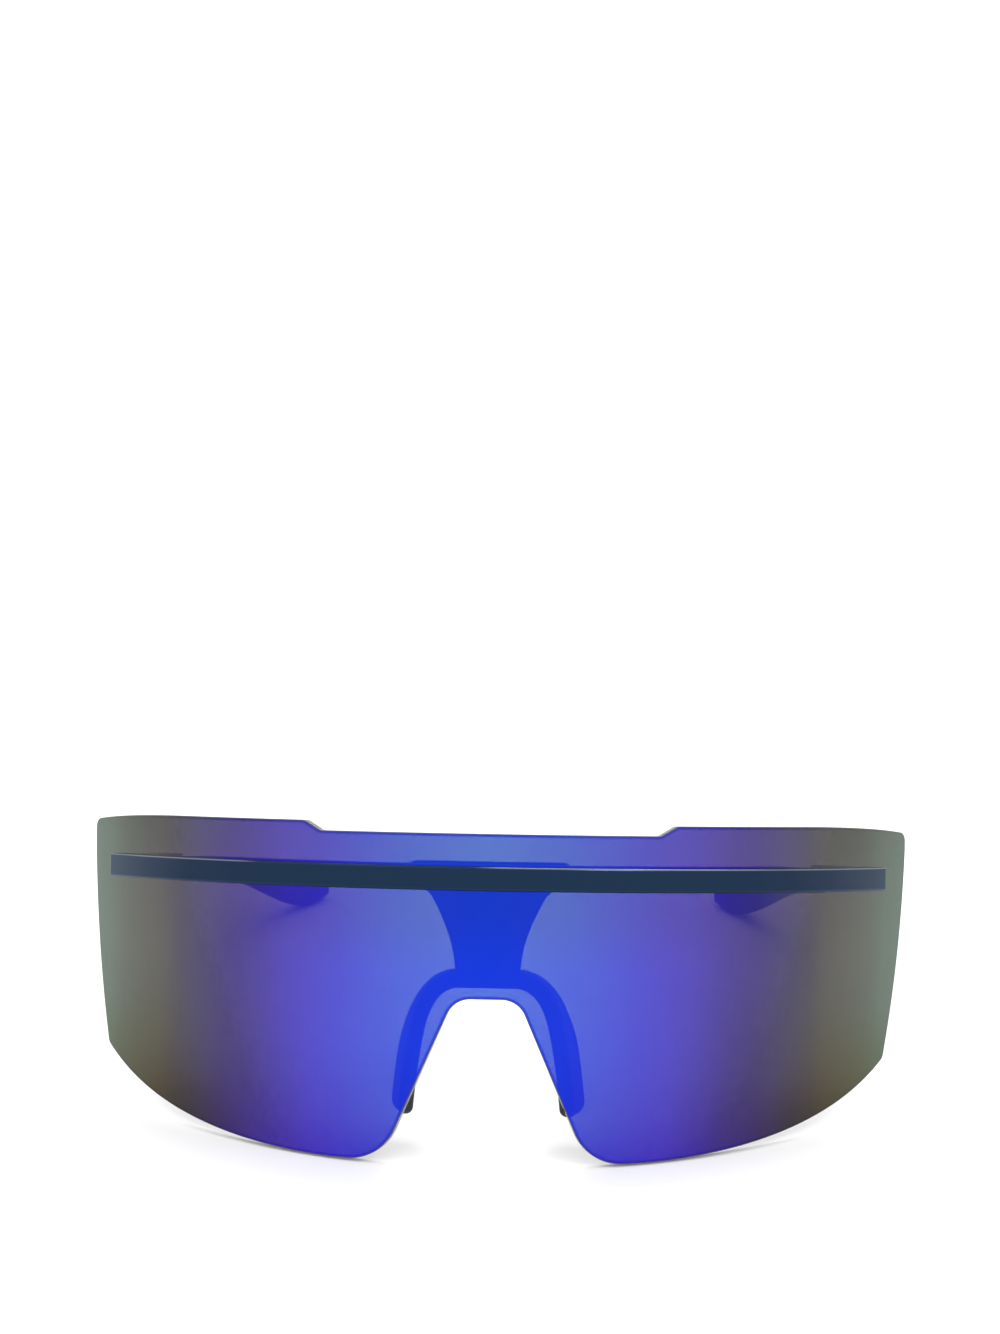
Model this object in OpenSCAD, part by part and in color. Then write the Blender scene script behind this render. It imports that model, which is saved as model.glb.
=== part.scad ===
// Wraparound shield sunglasses: one cylindrical lens across both eyes, a slim
// metal brow bar along its front, a hidden rail with a T-shaped bridge and a
// rubber nose saddle behind it, and two folding temples with ear grips.
// Worn frame: +X to the wearer's left, front towards -Y, brow bar at z = 0.
// The whole part is then laid on a table, on its two lens lobes and two tips.

/* [Lens] */
// Radius of the lens's front face
lens_r = 88; // [84:1:92]
// Thickness of the lens
lens_t = 2; // [1.8:0.1:2.2]
// Half length of the lens's top edge, measured along the curve
lens_half = 83.6; // [82:0.2:85]
// Height of the raised top edge above the brow bar's middle
lens_top = 9; // [8.4:0.2:10]
// Step down of the top edge over the brow
lens_step = 1.65; // [1:0.05:2.2]
// Half length of the lowered stretch of the top edge
step_half = 28.8; // [24:0.2:32]
// Depth of the lobes below the brow bar's middle
lens_drop = 46.5; // [45:0.5:48]

/* [Nose] */
// Depth of the top of the nose notch below the brow bar's middle
notch_top = 19.8; // [19:0.1:20.4]
// Half width of the nose notch at its top
notch_half = 5.3; // [4.8:0.1:5.8]
// Lean of the notch's sides from upright, in degrees
notch_lean = 23.9; // [22:0.1:25]
// Frontal width of the saddle's arms
pad_w = 2.6; // [2.2:0.1:2.8]
// Depth of the saddle's arms, front to back, at the pads
pad_d = 9.2; // [8:0.2:10]
// Outward flare of the pads, in degrees
pad_flare = 13; // [6:1:16]

/* [Brow bar] */
// Height of the brow bar
bar_h = 4; // [3.8:0.1:4.4]
// How far the brow bar stands in front of the lens
bar_t = 1.6; // [1.4:0.1:2]
// Half angle that the brow bar covers, in degrees
bar_half = 49.1; // [48.6:0.1:50]

/* [Temples] */
// Downward lean of the temples against the brow bar, in degrees
panto = 2.8; // [2.4:0.1:3.2]
// Height of the temples' line above the brow bar, carried forward to the brow
temple_rise = 1.5; // [1.3:0.1:1.7]
// Height of a temple
temple_h = 4.1; // [4:0.1:4.6]
// Thickness of a temple
temple_t = 3.3; // [3.2:0.1:3.4]
// Distance of the temple's end from the lens's front
temple_end = 158; // [154:1:160]
// Height of an ear grip
grip_h = 5.2; // [5:0.1:6]
// Thickness of an ear grip
grip_t = 4; // [3.9:0.1:4.6]
// How far the ends of the ear grips drop
tip_drop = 4.8; // [3:0.2:6]
// How far the ends of the ear grips curve in
tip_in = 19.4; // [16:0.2:21]

/* [Hinges and screws] */
// Radius of the hinge knuckles
knuckle_r = 1.6; // [1.5:0.05:1.6]
// Radius of the hinge screw's shank
pin_r = 0.7; // [0.6:0.05:0.75]
// Radial clearance of the hinge screw in the temple's knuckle
pin_gap = 0.03; // [0.02:0.01:0.06]
// Radius of the lens screws' shanks
screw_r = 0.6; // [0.5:0.05:0.65]

/* [Hidden] */
$fn = 48;
e = 0.01;

// Layers behind the lens, as radii about the lens's axis
r_in = lens_r - lens_t;      // lens's back face
rail_in = r_in - 1.2;        // rail's back face
plate_in = rail_in - 2.2;    // bridge plate's back face
seat_r = rail_in - 1.4;      // seat under the screw heads
stud_r = 1.1;                // studs on the back of the brow bar
bush_r = 1.4;                // bushes in the lens
bridge_a = 5;                // angle of the bridge screws
end_a = [43.5, 47.5];        // angles of the endpiece screws
end_z = 0;                   // height of the endpiece screws
// Hinge axis, in the leaned frame of the temples
hx = 60.7;
hy = 44.4;
tx = hx + knuckle_r + temple_t/2;   // middle of the temple's thickness
grip_y = 112;                       // joint of temple and ear grip
curve_y = 90;                       // start of the inward curve
hook_y = 126;                       // start of the drop of the tip
tail_y = 149;                       // start of the rounding of the tip's lower edge

// ---- helpers -------------------------------------------------------------
function unit(v) = v/norm(v);
function fillet(a, b, c, r, n) =
    let (u = unit(a - b), v = unit(c - b), h = acos(u*v)/2,
         m = b + unit(u + v)*(r/sin(h)), s = b + u*(r/tan(h)), f = b + v*(r/tan(h)),
         a0 = atan2(s[1] - m[1], s[0] - m[0]), a1 = atan2(f[1] - m[1], f[0] - m[0]),
         d = ((a1 - a0 + 540) % 360) - 180)
    [for (i = [0:n]) m + r*[cos(a0 + d*i/n), sin(a0 + d*i/n)]];
function bez2(a, b, c, n) =
    [for (i = [0:n]) let (t = i/n) (1-t)*(1-t)*a + 2*t*(1-t)*b + t*t*c];
function bez3(a, b, c, d, n) = [for (i = [0:n]) bz(a, b, c, d, i/n)];
function bz(a, b, c, d, t) =
    (1-t)*(1-t)*(1-t)*a + 3*t*(1-t)*(1-t)*b + 3*t*t*(1-t)*c + t*t*t*d;
function sort(v) = len(v) < 2 ? v :
    let (p = v[floor(len(v)/2)])
    concat(sort([for (x = v) if (x < p) x]), [for (x = v) if (x == p) x],
           sort([for (x = v) if (x > p) x]));
// Stations from a sorted list, none closer than d to the last one kept
function thin(v, d, i = 1, out = [0]) = i >= len(v) ? out :
    thin(v, d, i + 1, v[i] - out[len(out) - 1] < d ? out : concat(out, [v[i]]));
// Rounded rectangle, w by h, corner radius r
function rrect(w, h, r, n = 3) =
    [for (k = [0:3]) for (i = [0:n])
        let (a = 90*k + 90*i/n, sx = (k == 0 || k == 3) ? 1 : -1, sy = k < 2 ? 1 : -1)
        [sx*(w/2 - r) + r*cos(a), sy*(h/2 - r) + r*sin(a)]];
function ngon(r, n) = [for (i = [0:n-1]) r*[cos(360*i/n), sin(360*i/n)]];
// Ring of points: section sec laid out along the directions n and u at p
function ring(p, n, u, sec) = [for (q = sec) p + q[0]*n + q[1]*u];

// Closed solid through a list of rings with the same number of points
module loft(rings) {
    m = len(rings);
    n = len(rings[0]);
    polyhedron(
        points = [for (r = rings) for (p = r) p],
        faces = concat(
            [[for (j = [0:n-1]) j]],
            [[for (j = [n-1:-1:0]) (m-1)*n + j]],
            [for (i = [0:m-2]) for (j = [0:n-1]) let (k = (j+1) % n)
                [i*n + j, (i+1)*n + j, (i+1)*n + k]],
            [for (i = [0:m-2]) for (j = [0:n-1]) let (k = (j+1) % n)
                [i*n + j, (i+1)*n + k, i*n + k]]),
        convexity = 6);
}
// Leaned frame of the endpieces, hinges and temples
module lean() { translate([0, 0, temple_rise]) rotate([-panto, 0, 0]) children(); }
// Outward radial direction of the lens at angle a and height z
module radial(a, z, r = 0) {
    translate([0, lens_r, z]) rotate([0, 0, a]) translate([0, -r, 0]) rotate([90, 0, 0]) children();
}
module each_side(s) { if (s > 0) children(); else mirror([1, 0, 0]) children(); }
// Cylindrical wall about the lens's axis, between two radii and two heights
module wall(r0, r1, z0, z1) {
    translate([0, lens_r, z0]) difference() {
        cylinder(r = r1, h = z1 - z0, $fn = 180);
        translate([0, 0, -1]) cylinder(r = r0, h = z1 - z0 + 2, $fn = 180);
    }
}

// ---- lens ----------------------------------------------------------------
// Right half of the outline, as [length along the curve, height]
top_low = lens_top - lens_step;
top_corner = fillet([72, lens_top], [lens_half, lens_top - 1.2], [lens_half, lens_top - 8], 1.6, 5);
top_line = concat(
    [[0, top_low]],
    fillet([0, top_low], [step_half, top_low], [step_half + 3, lens_top], 1.5, 4),
    fillet([step_half, top_low], [step_half + 3, lens_top], [56, lens_top], 1.5, 4),
    bez2([57, lens_top], [72, lens_top], top_corner[0], 8),
    top_corner,
    [[lens_half, lens_top - 3.2]]);
lobe_s = notch_half + (lens_drop - notch_top)*tan(notch_lean);
side_low = [lens_half - 5.7, 18 - lens_drop];
low_corner = fillet([lens_half - 17, -lens_drop + 7.5], [lens_half - 6.4, 15.4 - lens_drop],
                    side_low, 1.8, 4);
low_line = concat(
    [[0, -notch_top]],
    fillet([0, -notch_top], [notch_half, -notch_top], [lobe_s, -lens_drop], 2.2, 6),
    fillet([notch_half, -notch_top], [lobe_s, -lens_drop], [60, -lens_drop], 8.5, 12),
    bez3([lobe_s + 5.8, -lens_drop], [30, -lens_drop], [58, 2 - lens_drop], low_corner[0], 22),
    low_corner,
    bez2(side_low, [lens_half - 1, -12], [lens_half - e, lens_top - 4.2], 9),
    [[lens_half, lens_top - 4.1]]);
stations = thin(sort(concat([for (p = top_line) p[0]], [for (p = low_line) p[0]],
                            [for (s = [5:5:80]) s])), 0.05);
function lens_pt(r, s, z) =
    [r*sin(s/lens_r*180/PI), lens_r - r*cos(s/lens_r*180/PI), z];

// Wedge-walled cutter whose side faces run square to the lens's surface
module lens_cutter(r0, r1) {
    st = concat([for (i = [len(stations)-1:-1:1]) -stations[i]], stations);
    n = len(st);
    polyhedron(
        points = [for (s = st) let (t = lookup(abs(s), top_line), b = lookup(abs(s), low_line))
            each [lens_pt(r1, s, t), lens_pt(r1, s, b), lens_pt(r0, s, t), lens_pt(r0, s, b)]],
        faces = concat(
            [for (i = [0:n-2]) let (a = 4*i, c = 4*i+4) [a, c, c+1, a+1]],
            [for (i = [0:n-2]) let (a = 4*i, c = 4*i+4) [a+2, a+3, c+3, c+2]],
            [for (i = [0:n-2]) let (a = 4*i, c = 4*i+4) each [[a, a+2, c+2], [a, c+2, c]]],
            [for (i = [0:n-2]) let (a = 4*i, c = 4*i+4) each [[a+1, c+1, c+3], [a+1, c+3, a+3]]],
            [[2, 0, 1, 3]], [let (c = 4*n-4) [c, c+2, c+3, c+1]]),
        convexity = 10);
}
module stud_places() {
    for (s = [-1, 1]) {
        radial(s*bridge_a, 0) children();
        for (a = end_a) radial(s*a, end_z) children();
    }
}
module lens_shield() {
    color("royalblue") difference() {
        intersection() {
            wall(r_in, lens_r, -60, 20);
            lens_cutter(r_in - 5, lens_r + 5);
        }
        stud_places() translate([0, 0, r_in - 1.5]) cylinder(r = bush_r, h = lens_t + 3);
    }
}

// ---- brow bar and rail -----------------------------------------------------
module brow_bar() {
    color("midnightblue") difference() {
        union() {
            translate([0, lens_r, 0]) rotate([0, 0, -90 - bar_half])
                rotate_extrude(angle = 2*bar_half, $fn = 180)
                    polygon([[lens_r, -bar_h/2], [lens_r + bar_t - 0.35, -bar_h/2],
                             [lens_r + bar_t, -bar_h/2 + 0.35], [lens_r + bar_t, bar_h/2 - 0.35],
                             [lens_r + bar_t - 0.35, bar_h/2], [lens_r, bar_h/2]]);
            stud_places() translate([0, 0, rail_in + 0.2])
                cylinder(r = stud_r, h = lens_t + 1.2);
        }
        stud_places() translate([0, 0, rail_in - 1]) cylinder(r = screw_r + 0.02, h = lens_t + 2.8);
    }
}
module rear_rail() {
    color("darkslateblue") difference() {
        intersection() {
            translate([0, lens_r, -8]) rotate([0, 0, -90 - bar_half])
                rotate_extrude(angle = 2*bar_half, $fn = 180)
                    translate([rail_in, 0]) square([r_in - rail_in, 14]);
            // a little higher than the bar over the brow, level with it near the ends
            translate([0, 60, 0]) rotate([90, 0, 0]) linear_extrude(70)
                polygon([[-70, -1.95], [70, -1.95], [70, 1.9], [55, 1.9], [49, 2.45],
                         [-49, 2.45], [-55, 1.9], [-70, 1.9]]);
        }
        stud_places() translate([0, 0, rail_in - 2]) cylinder(r = stud_r + 0.05, h = 6);
    }
}
module lens_bushes() {
    color("dimgray") stud_places() translate([0, 0, r_in + 0.02]) difference() {
        cylinder(r = bush_r, h = lens_t - 0.04);
        translate([0, 0, -1]) cylinder(r = stud_r + 0.02, h = lens_t + 2);
    }
}

// ---- bridge and nose saddle -----------------------------------------------
// Half width of the bridge plate's stem at height z
function stem(z) = 5.4 + 4.6*pow(max(0, (z + 15.2)/13), 1.7);
tee = concat(
    [for (z = [-15:1:-3]) [stem(z), z]],
    [[10.4, -2.2], [12.2, -1.2], [13.1, 0.2], [13.4, 1.6], [13.1, 2.4], [12.4, 2.65]]);
module tee_outline() {
    polygon(concat(tee, [for (i = [len(tee)-1:-1:0]) [-tee[i][0], tee[i][1]]]));
}
seat_c = 4.2;      // height of the centre of the stem's round foot
seat_rad = 20;     // radius of the stem's round foot
module bridge_plate() {
    color("navy") {
        difference() {
            union() {
                intersection() {
                    wall(plate_in, rail_in, -17, 4);
                    union() {
                        translate([0, 20, 0]) rotate([90, 0, 0]) linear_extrude(30) tee_outline();
                        intersection() {
                            translate([-5.4, -10, -17]) cube([10.8, 30, 5]);
                            translate([0, 20, seat_c]) rotate([90, 0, 0])
                                cylinder(r = seat_rad, h = 30, $fn = 120);
                        }
                    }
                }
                // tongue that plugs into the saddle
                translate([-4, plate_y + 0.35, -17.1]) cube([8, 1.3, 4]);
            }
            for (s = [-1, 1]) radial(s*bridge_a, 0) {
                translate([0, 0, plate_in - 2]) cylinder(r = screw_r + 0.05, h = 6);
                translate([0, 0, plate_in - 3]) cylinder(r = 1.25, h = seat_r - plate_in + 3);
            }
        }
    }
}
plate_y = lens_r - rail_in;       // front of the bridge plate at the middle
// Shared form of a lens screw: head, shank and a straight driver slot
module lens_screw() {
    difference() {
        union() {
            translate([0, 0, seat_r - 0.75]) cylinder(r = 1.1, h = 0.75);
            translate([0, 0, seat_r - e]) cylinder(r = screw_r, h = lens_r + 0.2 - seat_r);
        }
        translate([-2, -0.15, seat_r - 1]) cube([4, 0.3, 0.55]);
    }
}
module bridge_screws() {
    color("silver") for (s = [-1, 1]) radial(s*bridge_a, 0) lens_screw();
}

// Saddle's arm: middle line in the frontal plane, from the crossbar down
arm_a = [4, -16.7];
arm_b = [12, -16.2];
arm_c = [13.2, -28];
arm_d = [14.2, -38];
function arm_t(t) = 3*((1-t)*(1-t)*(arm_b - arm_a) + 2*t*(1-t)*(arm_c - arm_b) + t*t*(arm_d - arm_c));
function arm_y(t) = 4.9 + 5.4*pow(t, 1.2);
// Depth, width and flare along the arm
function arm_dep(t) = 4.4 + (pad_d - 4.4)*min(1, t*1.7);
function arm_wid(t) = 3.1 - (3.1 - pad_w)*min(1, t*2);
function arm_flare(t) = pad_flare*min(1, t*1.5);
// One ring of the saddle; side s, place t, size scale k, extra drop dz
function arm_ring(s, t, k, dz) =
    let (p = bz(arm_a, arm_b, arm_c, arm_d, t), d = unit(arm_t(t)),
         u0 = [-d[1]*s, 0, d[0]], f = arm_flare(t),
         n = [0, cos(f), 0] + sin(f)*u0, u = cos(f)*u0 - [0, sin(f), 0])
    ring([s*p[0], arm_y(t), p[1] - dz], n, u,
         rrect(arm_dep(t)*(0.25 + 0.75*k), arm_wid(t)*k, min(1.2, arm_wid(t)*k/2.1)));
arm_n = 14;
saddle_rings = concat(
    [for (i = [4:-1:1]) arm_ring(-1, 1, cos(22*i), 1.7*sin(22*i))],
    [for (i = [arm_n:-1:0]) arm_ring(-1, i/arm_n, 1, 0)],
    [for (i = [0:arm_n]) arm_ring(1, i/arm_n, 1, 0)],
    [for (i = [1:4]) arm_ring(1, 1, cos(22*i), 1.7*sin(22*i))]);
function wire_ring(s, t, r) =
    let (p = bz(arm_a, arm_b, arm_c, arm_d, t), d = unit(arm_t(t)))
    ring([s*p[0], arm_y(t), p[1]], [0, 1, 0], [-d[1]*s, 0, d[0]], ngon(r, 8));
module nose_wire(s, r, t0, t1) {
    if (s > 0) loft([for (i = [0:10]) wire_ring(s, t0 + (t1 - t0)*i/10, r)]);
    else loft([for (i = [10:-1:0]) wire_ring(s, t0 + (t1 - t0)*i/10, r)]);
}
module nose_saddle() {
    color([0.08, 0.08, 0.09]) difference() {
        loft(saddle_rings);
        // seat and slot for the bridge plate
        translate([0, 20, seat_c]) rotate([90, 0, 0]) cylinder(r = seat_rad + 0.05, h = 30, $fn = 120);
        translate([-4.05, plate_y + 0.3, -17.15]) cube([8.1, 1.4, 4]);
        // channels for the shaping wires
        for (s = [-1, 1]) nose_wire(s, 0.53, 0.25, 0.9);
    }
}
module nose_wires() { color("silver") for (s = [-1, 1]) nose_wire(s, 0.5, 0.26, 0.89); }

// ---- endpieces and hinges ---------------------------------------------------
module endpiece(s) {
    each_side(s) difference() {
        intersection() {
            translate([0, lens_r, -10]) cylinder(r = rail_in - 0.02, h = 20, $fn = 180);
            lean() translate([0, 0, -2.05]) linear_extrude(4.1)
                polygon([[54.4, 25.8], [57, 20], [68, 30], [tx + temple_t/2, 36],
                         [tx + temple_t/2, hy - 0.15], [hx + knuckle_r, hy - 0.15],
                         [hx + knuckle_r, 37], [61.4, 34.2], [59.4, 31]]);
        }
        for (a = end_a) radial(a, end_z) {
            translate([0, 0, rail_in - 6]) cylinder(r = screw_r + 0.05, h = 9);
            translate([0, 0, rail_in - 8]) cylinder(r = 1.25, h = seat_r - rail_in + 8);
        }
        lean() for (y = [39.2, 41.8]) translate([50, y, 0]) rotate([0, 90, 0]) cylinder(r = 0.5, h = 20);
    }
}
module endpiece_left() { color("midnightblue") endpiece(1); }
module endpiece_right() { color("midnightblue") endpiece(-1); }
module endpiece_screws(s) {
    color("silver") each_side(s) for (a = end_a) radial(a, end_z) lens_screw();
}
module endpiece_screws_left() { endpiece_screws(1); }
module endpiece_screws_right() { endpiece_screws(-1); }

// Rivet along X between x0 and x1, with a low domed head at each end
module rivet(x0, x1, y) {
    translate([x0, y, 0]) rotate([0, 90, 0]) {
        cylinder(r = 0.5, h = x1 - x0);
        translate([0, 0, x1 - x0]) dome();
        mirror([0, 0, 1]) dome();
    }
}
module dome() {
    rotate_extrude($fn = 32) polygon([[0, 0], [0.9, 0], [0.85, 0.14], [0.6, 0.27], [0.3, 0.34], [0, 0.36]]);
}
leaf_x = hx + knuckle_r - 1;   // back face of the hinge leaves
module knuckle(z0, z1) { translate([hx, hy, z0]) cylinder(r = knuckle_r, h = z1 - z0); }
module front_hinge(s) {
    color("lightgray") each_side(s) lean() difference() {
        union() {
            knuckle(-2.05, -0.75);
            knuckle(0.75, 2.05);
            translate([leaf_x, 37.4, -1.9]) cube([1, hy - knuckle_r - 0.2 - 37.4, 3.8]);
            for (z = [-1.9, 0.75]) translate([leaf_x, hy - 2.2, z]) cube([1, 2.2, 1.15]);
        }
        translate([hx, hy, -3]) cylinder(r = pin_r + 0.01, h = 6);
        translate([hx, hy, 1.45]) cylinder(r = 1.12, h = 2);
        for (y = [39.2, 41.8]) translate([leaf_x - 1, y, 0]) rotate([0, 90, 0]) cylinder(r = 0.5, h = 3);
    }
}
module front_hinge_left() { front_hinge(1); }
module front_hinge_right() { front_hinge(-1); }
module endpiece_rivets(s) {
    color("silver") each_side(s) lean()
        for (y = [39.2, 41.8]) rivet(leaf_x, tx + temple_t/2, y);
}
module endpiece_rivets_left() { endpiece_rivets(1); }
module endpiece_rivets_right() { endpiece_rivets(-1); }
module hinge_screw(s) {
    color("silver") each_side(s) lean() translate([hx, hy, 0]) difference() {
        union() {
            translate([0, 0, -2.05]) cylinder(r = pin_r, h = 3.6);
            translate([0, 0, 1.5]) cylinder(r = 1.05, h = 0.55);
        }
        translate([-2, -0.15, 1.8]) cube([4, 0.3, 1]);
    }
}
module hinge_screw_left() { hinge_screw(1); }
module hinge_screw_right() { hinge_screw(-1); }
module temple_hinge(s) {
    color("lightgray") each_side(s) lean() difference() {
        union() {
            knuckle(-0.7, 0.7);
            translate([leaf_x, hy, -0.7]) cube([1, 3, 1.4]);
            translate([leaf_x, hy + 2.1, -1.8]) cube([1, 9.9, 3.6]);
        }
        translate([hx, hy, -3]) cylinder(r = pin_r + pin_gap, h = 6);
        for (y = [48.6, 53.6]) translate([leaf_x - 1, y, 0]) rotate([0, 90, 0]) cylinder(r = 0.5, h = 3);
    }
}
module temple_hinge_left() { temple_hinge(1); }
module temple_hinge_right() { temple_hinge(-1); }
module temple_rivets(s) {
    color("silver") each_side(s) lean() for (y = [48.6, 53.6]) rivet(leaf_x, tx + temple_t/2, y);
}
module temple_rivets_left() { temple_rivets(1); }
module temple_rivets_right() { temple_rivets(-1); }

// ---- temples ----------------------------------------------------------------
// Middle line of the temple at distance y behind the lens
function arm_x(y) = tx - tip_in*pow(max(0, y - curve_y)/(155 - curve_y), 2);
function arm_h(y) = let (t = max(0, min(1, (y - hook_y)/26))) -tip_drop*t*t*(3 - 2*t);
function arm_dx(y) = -2*tip_in*max(0, y - curve_y)/pow(155 - curve_y, 2);
function temple_ring(y, sec, dy = 0, dz = 0) =
    let (d = unit([arm_dx(y), 1, 0]))
    ring([arm_x(y), y, arm_h(y) + dz] + dy*d, [-d[1], d[0], 0], [0, 0, 1], sec);
// Ring of an ear grip: its lower edge rounds upwards over the last stretch
function tail(y) = pow(max(0, y - tail_y)/(temple_end - tail_y), 2);
function grip_ring(y, k = 1, dy = 0) =
    let (h = grip_h*(1 - 0.62*tail(y)), w = grip_t*(1 - 0.35*tail(y)))
    temple_ring(y, rrect(w*(0.3 + 0.7*k), h*k, min(1.4, 0.27*h)*k), dy, (grip_h - h)/2);
function spread(a, b, n) = [for (i = [0:n]) a + (b - a)*i/n];
module wire_run(y0, y1, r, n) { loft([for (y = spread(y0, y1, n)) temple_ring(y, ngon(r, 8))]); }
module temple(s) {
    body = rrect(temple_t, temple_h, 0.9);
    each_side(s) lean() difference() {
        loft(concat([temple_ring(hy + 0.15, rrect(temple_t, temple_h - 0.3, 0.9)),
                     temple_ring(hy + 0.45, body), temple_ring(60, body)],
                    [for (y = spread(curve_y, grip_y, 8)) temple_ring(y, body)]));
        wire_run(grip_y - 8, grip_y + 1, 0.72, 3);
        for (y = [48.6, 53.6]) translate([50, y, 0]) rotate([0, 90, 0]) cylinder(r = 0.5, h = 20);
    }
}
module temple_left() { color([0.09, 0.1, 0.13]) temple(1); }
module temple_right() { color([0.09, 0.1, 0.13]) temple(-1); }
module tip_wire(s) { color("silver") each_side(s) lean() wire_run(grip_y - 7.9, 148, 0.7, 14); }
module tip_wire_left() { tip_wire(1); }
module tip_wire_right() { tip_wire(-1); }
module ear_grip(s) {
    each_side(s) lean() difference() {
        loft(concat(
            [temple_ring(grip_y + 0.02, rrect(grip_t - 0.5, grip_h - 0.6, 1.2)),
             temple_ring(grip_y + 0.4, rrect(grip_t, grip_h, 1.4))],
            [for (y = spread(grip_y + 3, tail_y, 12)) grip_ring(y)],
            [for (y = spread(tail_y + 1.2, temple_end - 1.3, 5)) grip_ring(y)],
            [for (a = [30, 60, 80]) grip_ring(temple_end - 1.3, cos(a), 1.3*sin(a))]));
        wire_run(grip_y - 2, 148.2, 0.73, 12);
    }
}
module ear_grip_left() { color([0.06, 0.06, 0.07]) ear_grip(1); }
module ear_grip_right() { color([0.06, 0.06, 0.07]) ear_grip(-1); }

// ---- resting place ------------------------------------------------------------
// The lens's lobes and the ear grips touch the table: the lean that puts both at
// one height is found from their own points.
lobe_pts = [for (p = low_line) for (r = [r_in, lens_r]) lens_pt(r, p[0], p[1])];
grip_pts = [for (y = concat(spread(grip_y + 3, tail_y, 12), spread(tail_y + 1.2, temple_end - 1.3, 5)))
    for (p = grip_ring(y))
        [p[0], p[1]*cos(panto) + p[2]*sin(panto),
         p[2]*cos(panto) - p[1]*sin(panto) + temple_rise]];
function low(v, a) = min([for (p = v) p[2]*cos(a) - p[1]*sin(a)]);
function settle(a, b, n) = n == 0 ? (a + b)/2 :
    let (m = (a + b)/2) low(lobe_pts, m) < low(grip_pts, m) ? settle(m, b, n-1) : settle(a, m, n-1);
rest_lean = settle(5, 20, 24);
rest_z = -low(lobe_pts, rest_lean);
rest_y = -71.722;
module rest() { translate([0, rest_y, rest_z]) rotate([-rest_lean, 0, 0]) children(); }

rest() lens_shield();
rest() brow_bar();
rest() rear_rail();
rest() lens_bushes();
rest() bridge_plate();
rest() bridge_screws();
rest() nose_saddle();
rest() nose_wires();
rest() endpiece_left();
rest() endpiece_right();
rest() endpiece_screws_left();
rest() endpiece_screws_right();
rest() front_hinge_left();
rest() front_hinge_right();
rest() endpiece_rivets_left();
rest() endpiece_rivets_right();
rest() hinge_screw_left();
rest() hinge_screw_right();
rest() temple_left();
rest() temple_right();
rest() temple_hinge_left();
rest() temple_hinge_right();
rest() temple_rivets_left();
rest() temple_rivets_right();
rest() tip_wire_left();
rest() tip_wire_right();
rest() ear_grip_left();
rest() ear_grip_right();
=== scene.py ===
import math

import bmesh
import bpy
import numpy as np
from mathutils import Matrix, Vector


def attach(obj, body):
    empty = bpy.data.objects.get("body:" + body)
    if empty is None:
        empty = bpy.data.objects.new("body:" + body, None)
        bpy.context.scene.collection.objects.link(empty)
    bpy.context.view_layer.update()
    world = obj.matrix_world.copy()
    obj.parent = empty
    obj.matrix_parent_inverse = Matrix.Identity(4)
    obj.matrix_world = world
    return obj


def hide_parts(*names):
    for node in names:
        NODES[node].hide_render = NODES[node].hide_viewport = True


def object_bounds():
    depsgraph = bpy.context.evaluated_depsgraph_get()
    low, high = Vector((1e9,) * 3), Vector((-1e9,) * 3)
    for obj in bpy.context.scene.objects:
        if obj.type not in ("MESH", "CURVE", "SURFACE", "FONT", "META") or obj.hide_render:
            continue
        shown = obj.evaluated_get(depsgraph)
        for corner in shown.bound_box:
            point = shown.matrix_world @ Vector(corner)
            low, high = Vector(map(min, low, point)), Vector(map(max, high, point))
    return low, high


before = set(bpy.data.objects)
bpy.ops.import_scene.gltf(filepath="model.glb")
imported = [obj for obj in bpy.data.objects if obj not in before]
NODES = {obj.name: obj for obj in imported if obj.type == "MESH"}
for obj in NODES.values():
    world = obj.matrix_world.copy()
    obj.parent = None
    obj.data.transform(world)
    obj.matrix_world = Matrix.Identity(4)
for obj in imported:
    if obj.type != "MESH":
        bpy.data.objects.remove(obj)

cad_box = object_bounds()

# ---------------------------------------------------------------------------
# The worn frame G (mm) of the design: +X to the wearer's left, front at -Y, brow
# bar at z 0, lens axis at (0, 88). P is G leaned by 2.8 degrees, for the temples.
# ---------------------------------------------------------------------------
REST = math.radians(12.8987)
CT, ST = math.cos(REST), math.sin(REST)
PAN, RISE_P = math.radians(2.8), 1.5
CP, SP = math.cos(PAN), math.sin(PAN)
LR, LIN = 88.0, 86.0


def g2r(p):
    """G millimetres to the row frame in metres."""
    p = np.asarray(p, float).reshape(-1, 3)
    x, y, z = p.T
    return np.stack([x, y * CT + z * ST - 71.722, -y * ST + z * CT + 46.5375], 1) / 1000


def g2r_dir(n):
    n = np.asarray(n, float).reshape(-1, 3)
    x, y, z = n.T
    return np.stack([x, y * CT + z * ST, -y * ST + z * CT], 1)


def p2g(p, rise=RISE_P):
    p = np.asarray(p, float).reshape(-1, 3)
    x, y, z = p.T
    return np.stack([x, y * CP + z * SP, -y * SP + z * CP + rise], 1)


def unit(v):
    v = np.asarray(v, float)
    return v / np.maximum(np.linalg.norm(v, axis=-1, keepdims=True), 1e-12)


# ---------------------------------------------------------------------------
# Mesh helpers
# ---------------------------------------------------------------------------
def link(o):
    bpy.context.scene.collection.objects.link(o)
    return o


def new_mesh(name, verts, faces, normals=None, mats=(), face_mats=None):
    me = bpy.data.meshes.new(name)
    me.from_pydata([tuple(v) for v in verts], [], faces)
    me.validate(clean_customdata=False)
    for m in mats:
        me.materials.append(m)
    if face_mats is not None:
        me.polygons.foreach_set("material_index", face_mats)
    me.polygons.foreach_set("use_smooth", [True] * len(me.polygons))
    me.update()
    if normals is not None:
        me.normals_split_custom_set_from_vertices([tuple(n) for n in unit(normals)])
    return link(bpy.data.objects.new(name, me))


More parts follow.
